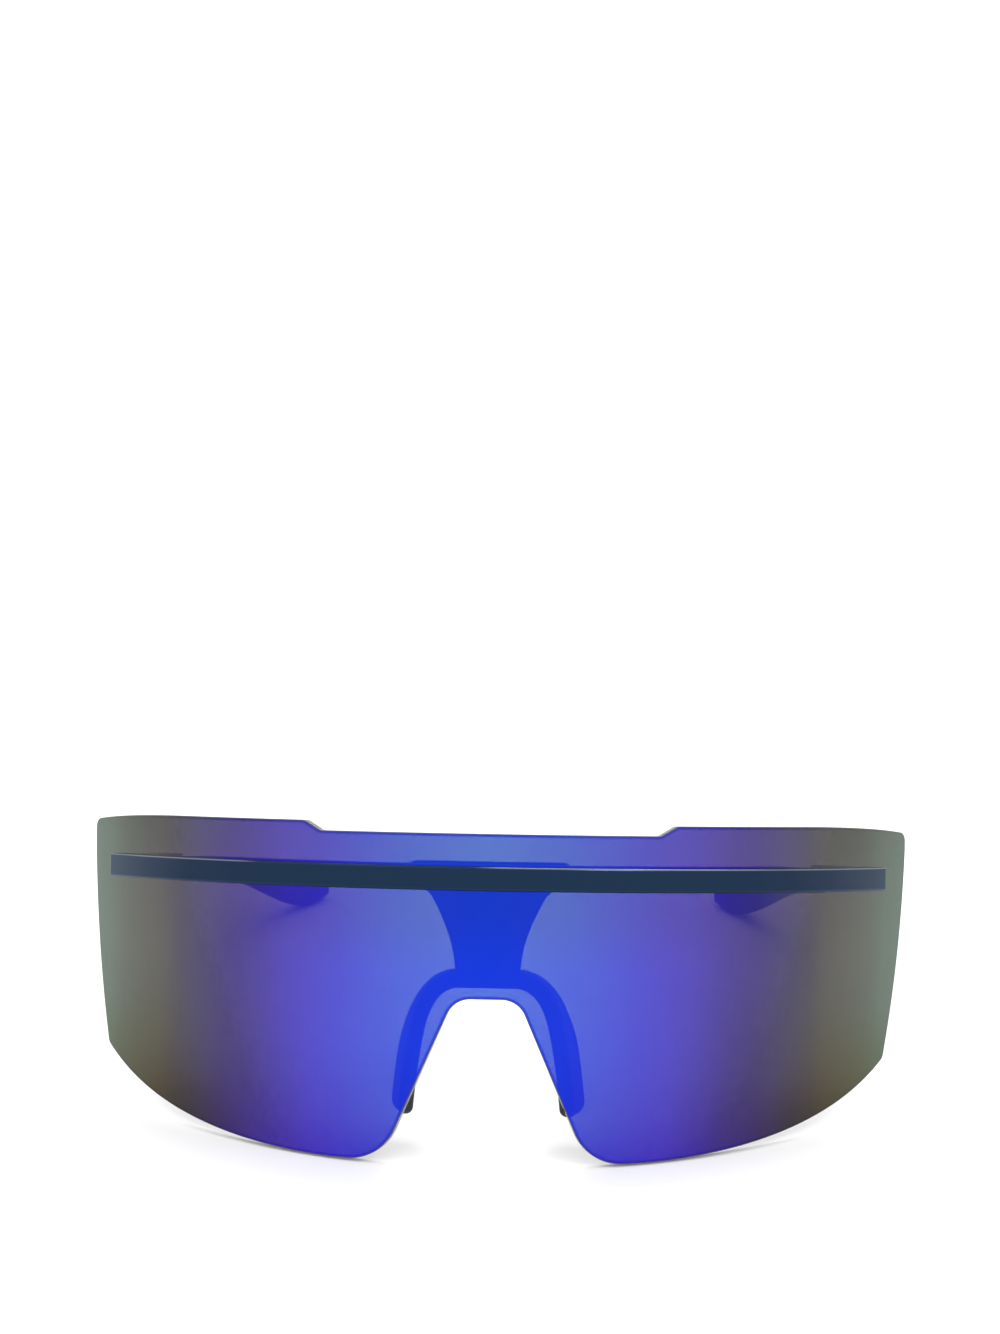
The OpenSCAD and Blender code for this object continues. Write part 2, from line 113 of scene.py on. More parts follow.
def rrect(w, h, radii, n):
    """Rounded rectangle w by h: points and outward normals. radii are for the corners (+,+), (-,+), (-,-), (+,-)."""
    pts, nrm = [], []
    for k in range(4):
        r = max(min(radii[k], w / 2 - 1e-4, h / 2 - 1e-4), 1e-4)
        sx = 1 if k in (0, 3) else -1
        sy = 1 if k < 2 else -1
        for i in range(n + 1):
            a = math.radians(90 * k + 90 * i / n)
            c, s = math.cos(a), math.sin(a)
            pts.append((sx * (w / 2 - r) + r * c, sy * (h / 2 - r) + r * s))
            nrm.append((c, s))
    return np.array(pts), np.array(nrm)


def sweep(name, stations, mats, mapper, mapper_dir, flip=False, body=None, slot=None):
    """Loft through stations (origin, N, U, D, points, normals, phi). phi turns a ring's normals from
    outward (0) to along +D or -D (90 or -90 degrees), which rounds the ends. Ends are capped."""
    verts, nrms = [], []
    n = len(stations[0][4])
    for p, N, U, D, q, qn, phi in stations:
        p, N, U, D = (np.asarray(v, float) for v in (p, N, U, D))
        verts.append(p + q[:, :1] * N + q[:, 1:] * U)
        c, s = math.cos(phi), math.sin(phi)
        nrms.append(c * (qn[:, :1] * N + qn[:, 1:] * U) + s * D)
    m = len(stations)
    faces = []
    for i in range(m - 1):
        for j in range(n):
            k = (j + 1) % n
            f = (i * n + j, i * n + k, (i + 1) * n + k, (i + 1) * n + j)
            faces.append(f if flip else f[::-1])
    a = list(range(n))
    b = [(m - 1) * n + j for j in range(n)]
    faces.append(tuple(a[::-1]) if flip else tuple(a))
    faces.append(tuple(b) if flip else tuple(b[::-1]))
    nrm = mapper_dir(np.concatenate(nrms)) if mapper_dir else None
    o = new_mesh(name, mapper(np.concatenate(verts)), faces, nrm, mats)
    fix_winding(o)
    if nrm is None:
        o.data.set_sharp_from_angle(angle=math.radians(50))
    return o


def fix_winding(o):
    """Turns the faces outwards if the closed mesh's signed volume is negative, and keeps its normals."""
    me = o.data
    me.calc_loop_triangles()
    co = np.array([v.co for v in me.vertices])
    tri = np.array([t.vertices[:] for t in me.loop_triangles])
    vol = np.einsum("ij,ij->i", co[tri[:, 0]], np.cross(co[tri[:, 1]], co[tri[:, 2]])).sum()
    if vol < 0:
        want = {}
        if me.has_custom_normals:
            for lp, cn in zip(me.loops, me.corner_normals):
                want[lp.vertex_index] = cn.vector.copy()
        me.flip_normals()
        if want:
            me.normals_split_custom_set_from_vertices(
                [want.get(i, Vector((0, 0, 1))) for i in range(len(me.vertices))])
        me.update()
    return o


def place(o, body, slot, *nodes):
    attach(o, body)
    if nodes:
        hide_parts(*nodes)
    return o


def polish(node, name, mat, body, slot, width, seg=3, angle=28):
    """A finer copy of a CAD node: flat faces made whole, edges rounded, shading smoothed."""
    me = NODES[node].data.copy()
    me.name = name
    o = link(bpy.data.objects.new(name, me))
    bm = bmesh.new()
    bm.from_mesh(me)
    bmesh.ops.remove_doubles(bm, verts=bm.verts, dist=3e-6)
    bmesh.ops.dissolve_limit(bm, angle_limit=math.radians(0.6), verts=bm.verts, edges=bm.edges)
    for f in bm.faces:
        f.smooth = True
        f.material_index = 0
    bm.to_mesh(me)
    bm.free()
    me.materials.clear()
    me.materials.append(mat)
    if width > 0:
        b = o.modifiers.new("edge", "BEVEL")
        b.limit_method = "ANGLE"
        b.angle_limit = math.radians(angle)
        b.width = width / 1000
        b.segments = seg
        b.use_clamp_overlap = True
        b.miter_outer = "MITER_ARC"
        b.harden_normals = False
    w = o.modifiers.new("shade", "WEIGHTED_NORMAL")
    w.mode = "FACE_AREA"
    w.keep_sharp = False
    w.weight = 60
    return place(o, body, slot, node)


# ---------------------------------------------------------------------------
# Materials, all procedural
# ---------------------------------------------------------------------------
class Nodes:
    def __init__(self, name):
        self.mat = bpy.data.materials.new(name)
        self.mat.use_nodes = True
        self.t = self.mat.node_tree
        self.t.nodes.clear()
        self.out = self.t.nodes.new("ShaderNodeOutputMaterial")

    def new(self, kind, **inputs):
        n = self.t.nodes.new(kind)
        for k, v in inputs.items():
            k = k.replace("_", " ")
            if isinstance(v, bpy.types.NodeSocket):
                self.t.links.new(v, n.inputs[k])
            else:
                n.inputs[k].default_value = v
        return n

    def link(self, a, b):
        self.t.links.new(a, b)

    def math(self, op, a, b=None):
        n = self.t.nodes.new("ShaderNodeMath")
        n.operation = op
        for i, v in enumerate((a, b)):
            if isinstance(v, bpy.types.NodeSocket):
                self.t.links.new(v, n.inputs[i])
            elif v is not None:
                n.inputs[i].default_value = v
        return n.outputs[0]

    def ramp(self, fac, stops, interp="LINEAR"):
        n = self.t.nodes.new("ShaderNodeValToRGB")
        n.color_ramp.interpolation = interp
        e = n.color_ramp.elements
        while len(e) > 1:
            e.remove(e[-1])
        e[0].position, e[0].color = stops[0][0], (*stops[0][1], 1)
        for pos, col in stops[1:]:
            s = e.new(pos)
            s.color = (*col, 1)
        self.t.links.new(fac, n.inputs["Fac"])
        return n.outputs["Color"]

    def mix(self, fac, a, b, blend="MIX"):
        n = self.t.nodes.new("ShaderNodeMix")
        n.data_type = "RGBA"
        n.blend_type = blend
        for s, v in ((n.inputs[0], fac), (n.inputs[6], a), (n.inputs[7], b)):
            if isinstance(v, bpy.types.NodeSocket):
                self.t.links.new(v, s)
            elif isinstance(v, (int, float)):
                s.default_value = v
            else:
                s.default_value = (*v, 1)
        return n.outputs[2]

    def attr(self, name):
        n = self.t.nodes.new("ShaderNodeAttribute")
        n.attribute_name = name
        return n.outputs["Fac"]

    def coords(self, scale=(1, 1, 1)):
        c = self.t.nodes.new("ShaderNodeTexCoord")
        m = self.t.nodes.new("ShaderNodeMapping")
        m.inputs["Scale"].default_value = scale
        self.t.links.new(c.outputs["Object"], m.inputs["Vector"])
        return m.outputs["Vector"]

    def noise(self, scale, detail=3.0, rough=0.5, stretch=(1, 1, 1)):
        n = self.t.nodes.new("ShaderNodeTexNoise")
        n.inputs["Scale"].default_value = scale
        n.inputs["Detail"].default_value = detail
        n.inputs["Roughness"].default_value = rough
        self.t.links.new(self.coords(stretch), n.inputs["Vector"])
        return n.outputs["Fac"]

    def range(self, v, a, b, c, d):
        n = self.t.nodes.new("ShaderNodeMapRange")
        self.t.links.new(v, n.inputs["Value"])
        for k, x in zip(("From Min", "From Max", "To Min", "To Max"), (a, b, c, d)):
            n.inputs[k].default_value = x
        return n.outputs["Result"]

    def bump(self, height, dist, strength=1.0):
        n = self.t.nodes.new("ShaderNodeBump")
        n.inputs["Distance"].default_value = dist
        n.inputs["Strength"].default_value = strength
        self.t.links.new(height, n.inputs["Height"])
        return n.outputs["Normal"]


def plastic(name, dark, light, rough, spec, grain, depth, patch=160):
    """Moulded plastic or rubber: slow colour drift, fine grain in colour, roughness and bump."""
    k = Nodes(name)
    slow, fine = k.noise(patch, 2.0), k.noise(grain, 4.0, 0.6)
    p = k.new("ShaderNodeBsdfPrincipled")
    p.inputs["Specular IOR Level"].default_value = spec
    both = k.math("ADD", k.math("MULTIPLY", slow, 0.6), k.math("MULTIPLY", fine, 0.4))
    k.link(k.ramp(both, [(0.32, dark), (0.68, light)]), p.inputs["Base Color"])
    k.link(k.range(both, 0.3, 0.7, rough - 0.07, rough + 0.07), p.inputs["Roughness"])
    k.link(k.bump(fine, depth), p.inputs["Normal"])
    k.link(p.outputs[0], k.out.inputs["Surface"])
    return k.mat


def metal(name, dark, light, rough, stretch, grain=900, depth=4e-6, coat=0.0):
    """Brushed or coated metal: fine lines along one way, in colour, roughness and bump."""
    k = Nodes(name)
    lines, slow = k.noise(grain, 5.0, 0.7, stretch), k.noise(220, 3.0)
    p = k.new("ShaderNodeBsdfPrincipled")
    p.inputs["Metallic"].default_value = 1.0
    p.inputs["Coat Weight"].default_value = coat
    p.inputs["Coat Roughness"].default_value = 0.08
    both = k.math("ADD", k.math("MULTIPLY", lines, 0.5), k.math("MULTIPLY", slow, 0.5))
    k.link(k.ramp(both, [(0.33, dark), (0.67, light)]), p.inputs["Base Color"])
    k.link(k.range(both, 0.3, 0.7, rough - 0.06, rough + 0.08), p.inputs["Roughness"])
    k.link(k.bump(lines, depth), p.inputs["Normal"])
    k.link(p.outputs[0], k.out.inputs["Surface"])
    return k.mat


# The mirror coating's colour from the middle of the lens to its ends, by length along the curve in mm
COAT = [(0, (0.008, 0.041, 0.755)), (14, (0.013, 0.040, 0.725)), (22, (0.020, 0.030, 0.665)),
        (30, (0.028, 0.022, 0.555)), (36, (0.029, 0.021, 0.450)), (41.6, (0.027, 0.021, 0.305)),
        (46.8, (0.030, 0.025, 0.225)), (52.4, (0.043, 0.045, 0.162)), (58, (0.063, 0.063, 0.112)),
        (62, (0.088, 0.087, 0.104)), (67.6, (0.104, 0.106, 0.108)), (72, (0.118, 0.124, 0.116)),
        (77, (0.130, 0.152, 0.136)), (83.6, (0.134, 0.168, 0.150))]
SKY = 1.2        # brightness of the even studio light
FLOOR = 1.5      # brightness of the lit floor
# What the smoke tint behind it lets through, in the same way, for the front and back face together
TINT = [(0, (0.102, 0.150, 0.009)), (14, (0.086, 0.108, 0.015)), (26, (0.080, 0.074, 0.040)),
        (40, (0.080, 0.060, 0.052)), (52, (0.070, 0.054, 0.056)), (62, (0.046, 0.040, 0.026)),
        (72, (0.022, 0.022, 0.016)), (83.6, (0.016, 0.018, 0.016))]
FRONT_OPEN, BACK_OPEN = 0.34, 0.34
# Painted reflection and shade: the coating's colour made lighter or darker with height, in mm from the brow bar, for
# what the mirror reflects at each height: middle, and sides
RISE = [(-46.5, (0.80, 0.42, 0.78)), (-42, (0.85, 0.58, 0.84)), (-38, (0.92, 0.76, 0.90)),
        (-33, (0.97, 0.90, 0.95)), (-28, (1, 1, 1)), (-15.5, (1, 1, 0.985)), (-12, (1, 0.98, 0.92)),
        (-8.5, (1, 0.95, 0.83)), (-5, (1, 0.95, 0.78)), (9.5, (1, 1.0, 0.80))]
RISE_SIDE = [(-46.5, (0.44, 0.37, 0.17)), (-42, (0.50, 0.45, 0.21)), (-38, (0.58, 0.52, 0.27)),
             (-34, (0.68, 0.62, 0.38)), (-29, (0.78, 0.76, 0.52)), (-22, (0.88, 0.89, 0.70)),
             (-14, (1.00, 1.00, 0.90)), (-2, (1, 1, 1)), (5, (0.90, 0.94, 0.92)), (9.5, (0.88, 0.94, 0.90))]
RISE_END = [(-46.5, (0.50, 0.55, 0.36)), (-34, (0.71, 0.75, 0.54)), (-29, (0.78, 0.85, 0.68)),
            (-22, (0.90, 0.98, 0.91)), (-12, (0.94, 1.00, 0.96)), (3, (0.91, 0.97, 0.91)), (9.5, (0.89, 0.95, 0.89))]
# Painted shade on the tint towards the bottom, for the shadowed floor seen through the lens, a little lighter just
# above it: middle, and sides
LOW = [(-46.5, (1.0, 0.74, 0.78)), (-39.8, (1.18, 1.06, 0.95)), (-33, (1.1, 1.08, 1)), (-20, (1, 1, 1)), (9.5, (1, 1, 1))]
LOW_SIDE = [(-46.5, (0.58, 0.44, 0.5)), (-39.8, (0.70, 0.60, 0.65)), (-33, (0.95, 0.95, 0.95)), (9.5, (1, 1, 1))]


def lens_material(name, part):
    k = Nodes(name)
    s, z, edge = k.attr("lens_s"), k.attr("lens_z"), k.attr("lens_edge")
    haze = k.noise(26, 2.0)
    fac = k.math("ADD", k.math("DIVIDE", k.math("ABSOLUTE", s), 84.0),
                 k.math("MULTIPLY", k.math("SUBTRACT", haze, 0.5), 0.035))
    top = 1 - (FRONT_OPEN if part == "front" else BACK_OPEN)
    coat = k.ramp(fac, [(p / 84, c) for p, c in COAT])
    zz = k.range(z, -46.5, 9.5, 0, 1)
    side = k.range(k.math("ABSOLUTE", s), 30, 54, 0, 1)
    # by_height: the painted reflection ramps by height (RISE, RISE_SIDE, RISE_END), then the painted shade ramps on
    # the tint (LOW, LOW_SIDE)
    by_height = [k.ramp(zz, [((p + 46.5) / 56, c) for p, c in stops])
                 for stops in (RISE, RISE_SIDE, RISE_END, LOW, LOW_SIDE)]
    # rise: painted reflection and shade by height, blended from the middle to the sides to the ends
    rise = k.mix(k.range(k.math("ABSOLUTE", s), 62, 76, 0, 1), k.mix(side, by_height[0], by_height[1]), by_height[2])
    clear = k.new("ShaderNodeBsdfTransparent")
    p = k.new("ShaderNodeBsdfPrincipled")
    wipe = k.noise(420, 3.0, 0.6)
    if part == "front":
        colour = k.mix(1.0, coat, rise, "MULTIPLY")
        gain = 1 / (top * SKY)
        k.link(k.mix(1.0, colour, (gain, gain, gain), "MULTIPLY"), p.inputs["Base Color"])
        p.inputs["Metallic"].default_value = 1.0
        k.link(k.range(wipe, 0.35, 0.65, 0.045, 0.085), p.inputs["Roughness"])
        tint = k.ramp(fac, [(q / 84, tuple(v / (FRONT_OPEN * BACK_OPEN * FLOOR) for v in c)) for q, c in TINT])
        # painted shade of the floor behind, seen through the lower part of the lens
        low = k.mix(side, by_height[3], by_height[4])
        k.link(k.mix(edge, k.mix(1.0, tint, low, "MULTIPLY"), (0.04, 0.04, 0.05)), clear.inputs["Color"])
        fade = 1.0
    elif part == "back":
        k.link(k.mix(edge, k.ramp(wipe, [(0.3, (0.012, 0.012, 0.018)), (0.7, (0.020, 0.020, 0.030))]),
                     (0.008, 0.008, 0.012)), p.inputs["Base Color"])
        k.link(k.range(wipe, 0.35, 0.65, 0.05, 0.10), p.inputs["Roughness"])
        clear.inputs["Color"].default_value = (0.97, 0.97, 0.97, 1)
    else:
        dark = k.mix(1.0, coat, (0.75, 0.60, 0.34), "MULTIPLY")
        k.link(k.mix(0.3, dark, k.ramp(wipe, [(0.3, (0.012, 0.012, 0.02)), (0.7, (0.03, 0.03, 0.04))])),
               p.inputs["Base Color"])
        k.link(k.range(wipe, 0.35, 0.65, 0.14, 0.24), p.inputs["Roughness"])
        clear.inputs["Color"].default_value = (0.3, 0.3, 0.3, 1)
        top = 0.94
    m = k.new("ShaderNodeMixShader")
    m.inputs[0].default_value = top
    k.link(clear.outputs[0], m.inputs[1])
    k.link(p.outputs[0], m.inputs[2])
    k.link(m.outputs[0], k.out.inputs["Surface"])
    return k.mat


def bar_material():
    k = Nodes("bar_navy")
    c = k.t.nodes.new("ShaderNodeTexCoord")
    sep = k.t.nodes.new("ShaderNodeSeparateXYZ")
    k.link(c.outputs["Object"], sep.inputs[0])
    ax = k.math("ABSOLUTE", sep.outputs["X"])
    flake, slow = k.noise(5200, 2.0, 0.6), k.noise(70, 3.0, 0.55, (1, 1, 3))
    # Painted reflection: the bar's colour lightens from the middle towards its ends, for the brighter surroundings
    # mirrored there, with a slow random drift
    fac = k.math("ADD", k.range(ax, 0.0, 0.068, 0.0, 1.0), k.math("MULTIPLY", k.math("SUBTRACT", slow, 0.5), 0.12))
    col = k.ramp(fac, [(0.0, (0.0125, 0.031, 0.064)), (0.6, (0.0135, 0.031, 0.062)), (0.74, (0.019, 0.033, 0.066)),
                       (0.86, (0.030, 0.045, 0.076)), (0.92, (0.036, 0.052, 0.080)), (1.0, (0.042, 0.062, 0.088))])
    col = k.mix(k.range(flake, 0.52, 0.75, 0, 0.2), col, (0.035, 0.06, 0.11))
    # Painted highlight: the bevel along the upper edge is painted brighter, in long uneven stretches
    up = k.math("ADD", k.math("ADD", k.math("MULTIPLY", sep.outputs["Y"], 0.22323),
                              k.math("MULTIPLY", sep.outputs["Z"], 0.97477)), -0.029353)
    painted_bevel_highlight = k.math("MULTIPLY", k.range(up, 0.00166, 0.00186, 0, 1),
                   k.range(k.noise(44, 1.0, 0.4, (1, 0.2, 0.2)), 0.50, 0.60, 0.0, 1))
    # painted highlight colour mixed into the bar's colour on the upper bevel
    col = k.mix(painted_bevel_highlight, col, (0.19, 0.21, 0.26))
    p = k.new("ShaderNodeBsdfPrincipled")
    p.inputs["Metallic"].default_value = 1.0
    k.link(col, p.inputs["Base Color"])
    k.link(k.range(slow, 0.3, 0.7, 0.13, 0.2), p.inputs["Roughness"])
    k.link(k.bump(flake, 1.2e-6), p.inputs["Normal"])
    k.link(p.outputs[0], k.out.inputs["Surface"])
    return k.mat


M_FRONT = lens_material("lens_coat", "front")
M_BACK = lens_material("lens_smoke", "back")
M_CUT = lens_material("lens_cut_edge", "edge")
M_BAR = bar_material()
M_RAIL = metal("rail_coating", (0.018, 0.020, 0.040), (0.032, 0.036, 0.062), 0.34, (0.15, 1, 1), 1400, 3e-6, 0.1)
M_BRIDGE = plastic("bridge_nylon", (0.012, 0.015, 0.026), (0.022, 0.026, 0.042), 0.42, 0.45, 3800, 8e-6)
M_TEMPLE = plastic("temple_nylon", (0.013, 0.018, 0.032), (0.024, 0.031, 0.050), 0.40, 0.45, 4200, 7e-6)
M_RUBBER = plastic("soft_rubber", (0.010, 0.010, 0.013), (0.024, 0.025, 0.030), 0.66, 0.32, 2600, 2.2e-5)
M_BUSH = plastic("bush_nylon", (0.06, 0.06, 0.07), (0.10, 0.10, 0.115), 0.5, 0.4, 4000, 5e-6)
M_HINGE = metal("hinge_steel", (0.34, 0.35, 0.37), (0.50, 0.51, 0.53), 0.30, (1, 0.1, 1), 1500)
M_SCREW = metal("screw_steel", (0.44, 0.45, 0.47), (0.64, 0.65, 0.67), 0.24, (1, 1, 0.25), 2600)
M_WIRE = metal("wire_steel", (0.40, 0.40, 0.41), (0.58, 0.58, 0.58), 0.28, (1, 1, 0.1), 1800)


# ---------------------------------------------------------------------------
# Lens: one outline in (length along the curve, height), laid on a cylinder
# ---------------------------------------------------------------------------
def fillet(a, b, c, r, n):
    a, b, c = (np.array(v, float) for v in (a, b, c))
    u, v = unit(a - b), unit(c - b)
    h = math.acos(float(u @ v)) / 2
    m = b + unit(u + v) * (r / math.sin(h))
    s, f = b + u * (r / math.tan(h)), b + v * (r / math.tan(h))
    a0, a1 = math.atan2(*(s - m)[::-1]), math.atan2(*(f - m)[::-1])
    d = (a1 - a0 + 3 * math.pi) % (2 * math.pi) - math.pi
    return [m + r * np.array([math.cos(a0 + d * i / n), math.sin(a0 + d * i / n)]) for i in range(n + 1)]


def bez(points, n):
    p = [np.array(v, float) for v in points]
    k = len(p) - 1
    return [sum(math.comb(k, j) * (1 - t) ** (k - j) * t ** j * p[j] for j in range(k + 1))
            for t in (i / n for i in range(n + 1))]


TOP_CORNER = fillet((72, 9), (83.6, 7.8), (83.6, 1), 1.6, 14)
top_half = ([np.array([0, 7.35])] + fillet((0, 7.35), (28.8, 7.35), (31.8, 9), 1.5, 10)
            + fillet((28.8, 7.35), (31.8, 9), (56, 9), 1.5, 10) + bez([(57, 9), (72, 9), TOP_CORNER[0]], 20)
            + TOP_CORNER + [np.array([83.6, 5.8])])
LOBE = 5.3 + 26.7 * math.tan(math.radians(23.9))
LOW_CORNER = fillet((66.6, -39), (77.2, -31.1), (77.9, -28.5), 1.8, 12)
low_half = ([np.array([0, -19.8])] + fillet((0, -19.8), (5.3, -19.8), (LOBE, -46.5), 4.2, 18)
            + fillet((5.3, -19.8), (LOBE, -46.5), (60, -46.5), 8.5, 26)
            + bez([(LOBE + 5.8, -46.5), (30, -46.5), (58, -44.5), LOW_CORNER[0]], 60)
            + LOW_CORNER + bez([(77.9, -28.5), (82.6, -12), (83.6, 4.8)], 36))


def resample(pts, step):
    out = [pts[0]]
    for a, b in zip(pts[:-1], pts[1:]):
        d = np.linalg.norm(b - a)
        if d < 0.02:
            continue
        k = max(1, int(math.ceil(d / step)))
        out += [a + (b - a) * i / k for i in range(1, k + 1)]
    return out


top_half, low_half = resample(top_half, 0.5), resample(low_half, 0.5)
mirror = lambda pts: [np.array([-p[0], p[1]]) for p in pts]
# Round the outline: along the top from left to right, down the side and back along the bottom
loop = np.array(mirror(top_half)[::-1] + top_half[1:] + low_half[::-1] + mirror(low_half)[1:])


def loop_normals(p):
    d = np.roll(p, -1, 0) - np.roll(p, 1, 0)
    return unit(np.stack([-d[:, 1], d[:, 0]], 1))   # outwards for a loop that runs clockwise


L_N = loop_normals(loop)
BEV, RIM = 0.22, 0.62
inner = loop - L_N * RIM
cuts = np.arange(-82.5, 82.6, 1.0)
pts0, pts2, nrm0 = [], [], []
for i in range(len(loop)):
    j = (i + 1) % len(loop)
    a, b = inner[i], inner[j]
    pts0.append(loop[i]); pts2.append(a); nrm0.append(L_N[i])
    lo, hi = sorted((a[0], b[0]))
    mid = [c for c in cuts if lo + 1e-6 < c < hi - 1e-6]
    for c in (mid if b[0] > a[0] else mid[::-1]):
        t = (c - a[0]) / (b[0] - a[0])
        pts0.append(loop[i] + t * (loop[j] - loop[i]))
        pts2.append(np.array([c, a[1] + t * (b[1] - a[1])]))
        nrm0.append(unit(L_N[i] + t * (L_N[j] - L_N[i])))
L0, L2, LN = np.array(pts0), np.array(pts2), unit(np.array(nrm0))
NL = len(L0)


def on_lens(sz, r):
    r = np.broadcast_to(r, len(sz))
    a = sz[:, 0] / LR
    return np.stack([r * np.sin(a), LR - r * np.cos(a), sz[:, 1]], 1)


def lens_normal(sz, face, ln, phi):
    """Radial (face +1 outer, -1 inner) turned by phi towards the outline's own outward normal."""
    a = sz[:, 0] / LR
    rad = np.stack([np.sin(a), -np.cos(a), 0 * a], 1) * face
    tan = np.stack([np.cos(a), np.sin(a), 0 * a], 1)
    out = tan * ln[:, :1] + np.array([[0, 0, 1]]) * ln[:, 1:]
    return math.cos(phi) * rad + math.sin(phi) * out


verts, norms, s_at, z_at, e_at = [], [], [], [], []


def add_ring(sz, r, nrm, edge):
    start = sum(len(v) for v in verts)
    verts.append(on_lens(sz, r)); norms.append(nrm)
    s_at.append(sz[:, 0]); z_at.append(sz[:, 1]); e_at.append(np.full(len(sz), edge))
    return start


rings, ring_mat = [], []
L1 = L0 - LN * BEV
rings.append(add_ring(L2, LR, lens_normal(L2, 1, LN, 0), 0.0))
Lm = L0 - LN * (BEV + 0.16)
rings.append(add_ring(Lm, LR, lens_normal(Lm, 1, LN, 0), 0.85)); ring_mat.append(0)
STEPS = 4
for i in range(STEPS + 1):
    phi = math.pi / 2 * i / STEPS
    q = L0 - LN * (BEV * (1 - math.sin(phi)))
    rings.append(add_ring(q, LR - BEV * (1 - math.cos(phi)), lens_normal(q, 1, LN, phi), 1.0))
    ring_mat.append(0 if i == 0 else 2)
for i in range(STEPS + 1):
    phi = math.pi / 2 * (STEPS - i) / STEPS
    q = L0 - LN * (BEV * (1 - math.sin(phi)))
    rings.append(add_ring(q, LIN + BEV * (1 - math.cos(phi)), lens_normal(q, -1, LN, phi), 1.0))
    ring_mat.append(1)
rings.append(add_ring(Lm, LIN, lens_normal(Lm, -1, LN, 0), 0.85)); ring_mat.append(1)
rings.append(add_ring(L2, LIN, lens_normal(L2, -1, LN, 0), 0.0)); ring_mat.append(1)
V = np.concatenate(verts)
faces, fmat = [], []
for k in range(len(rings) - 1):
    a, b = rings[k], rings[k + 1]
    for j in range(NL):
        i = (j + 1) % NL
        faces.append((a + j, b + j, b + i, a + i)); fmat.append(ring_mat[k])
# Vertical strips across the faces
iR, iL = int(np.argmax(L2[:, 0])), int(np.argmin(L2[:, 0]))
order_top = [(iL + k) % NL for k in range((iR - iL) % NL + 1)]
order_low = [(iR + k) % NL for k in range((iL - iR) % NL + 1)][::-1]
edges_c = [-1e9] + list(cuts) + [1e9]
for lo, hi in zip(edges_c[:-1], edges_c[1:]):
    t = [i for i in order_top if lo - 1e-7 <= L2[i, 0] <= hi + 1e-7]
    b = [i for i in order_low if lo - 1e-7 <= L2[i, 0] <= hi + 1e-7]
    poly = t + [i for i in b[::-1] if i not in t]
    if len(poly) < 3:
        continue
    faces.append(tuple(rings[0] + i for i in poly)); fmat.append(0)
    faces.append(tuple(rings[-1] + i for i in poly[::-1])); fmat.append(1)
lens = new_mesh("lens", g2r(V), faces, g2r_dir(np.concatenate(norms)), (M_FRONT, M_BACK, M_CUT), fmat)
for nm, arr in (("lens_s", s_at), ("lens_z", z_at), ("lens_edge", e_at)):
    at = lens.data.attributes.new(nm, "FLOAT", "POINT")
    at.data.foreach_set("value", np.concatenate(arr).astype(np.float32))
fix_winding(lens)
place(lens, "front", "mirror_lens", "lens_shield")


# ---------------------------------------------------------------------------
# Brow bar and rail: rounded strips bent round the lens's axis
# ---------------------------------------------------------------------------
def bent_strip(name, half_deg, r0, r1, z0, top, radii, end_r, mats, n=5, steps=150):
    """A strip between radii r0 and r1, from z0 up to top(x). radii round the corners (front top, back top,
    back low, front low)."""
    st = []
    rm, w = (r0 + r1) / 2, r1 - r0
    A = math.radians(half_deg)
    rho = end_r / rm
    ends = [(A - rho * (1 - math.sin(f)), end_r * (1 - math.cos(f)), f)
            for f in (math.pi / 2 * i / 7 for i in range(8))]
    row = ([(-a, d, -f) for a, d, f in ends[::-1]] + [(a, 0, 0) for a in np.linspace(-A + rho, A - rho, steps)[1:-1]]
           + ends)
    for a, inset, phi in row:
        N = np.array([math.sin(a), -math.cos(a), 0.0])
        U = np.array([0, 0, 1.0])
        D = np.array([math.cos(a), math.sin(a), 0.0])
        z1 = top(abs(r1 * math.sin(a)))
        q, qn = rrect(w - 2 * inset, z1 - z0 - 2 * inset, [max(r - inset, 0.03) for r in radii], n)
        st.append((np.array([0, LR, 0]) + N * rm + U * (z0 + z1) / 2, N, U, D, q, qn, phi))
    return sweep(name, st, mats, g2r, g2r_dir)


bar = bent_strip("bar", 49.1, 88.0, 89.6, -2, lambda x: 2.0, (0.42, 0.08, 0.08, 0.42), 0.4, (M_BAR,), n=6, steps=220)
place(bar, "front", "bar_metal", "brow_bar")
rail = bent_strip("rail", 49.1, 84.8, 86.0, -1.95, lambda x: float(np.interp(x, [49, 55], [2.25, 1.9])),
                  (0.2, 0.2, 0.2, 0.2), 0.25, (M_RAIL,), n=4)
place(rail, "front", "rail_metal", "rear_rail")

# ---------------------------------------------------------------------------
# Nose saddle
# ---------------------------------------------------------------------------
ARM = [np.array(v, float) for v in ((4, -16.7), (12, -16.2), (13.2, -28), (14.2, -38))]


def arm_p(t):
    return sum(c * p for c, p in zip(((1 - t) ** 3, 3 * t * (1 - t) ** 2, 3 * t * t * (1 - t), t ** 3), ARM))


def arm_d(t):
    a, b, c, d = ARM
    return unit(3 * ((1 - t) ** 2 * (b - a) + 2 * t * (1 - t) * (c - b) + t * t * (d - c)))


def smoothmin(v, k=0.06):
    """min(1, v) with a soft corner."""
    return 1 - max(1 - v, 0) if abs(v - 1) > k else 1 - ((1 - v + k) ** 2) / (4 * k)


def arm_station(side, t, k, drop, phi):
    p, d = arm_p(t), arm_d(t)
    u0 = np.array([-d[1] * side, 0, d[0]])
    f = math.radians(13 * smoothmin(t * 1.5))
    N = np.array([0, math.cos(f), 0]) + math.sin(f) * u0
    U = math.cos(f) * u0 - np.array([0, math.sin(f), 0])
    D = np.array([d[0] * side, 0, d[1]]) * side
    w = 4.4 + 4.8 * smoothmin(t * 1.7)
    h = 3.1 - 0.5 * smoothmin(t * 2)
    q, qn = rrect(w * (0.25 + 0.75 * k), h * k, [min(1.2, h * k / 2.1)] * 4, 7)
    return (np.array([side * p[0], 4.9 + 5.4 * t ** 1.2, p[1] - drop]), N, U, D, q, qn, phi)


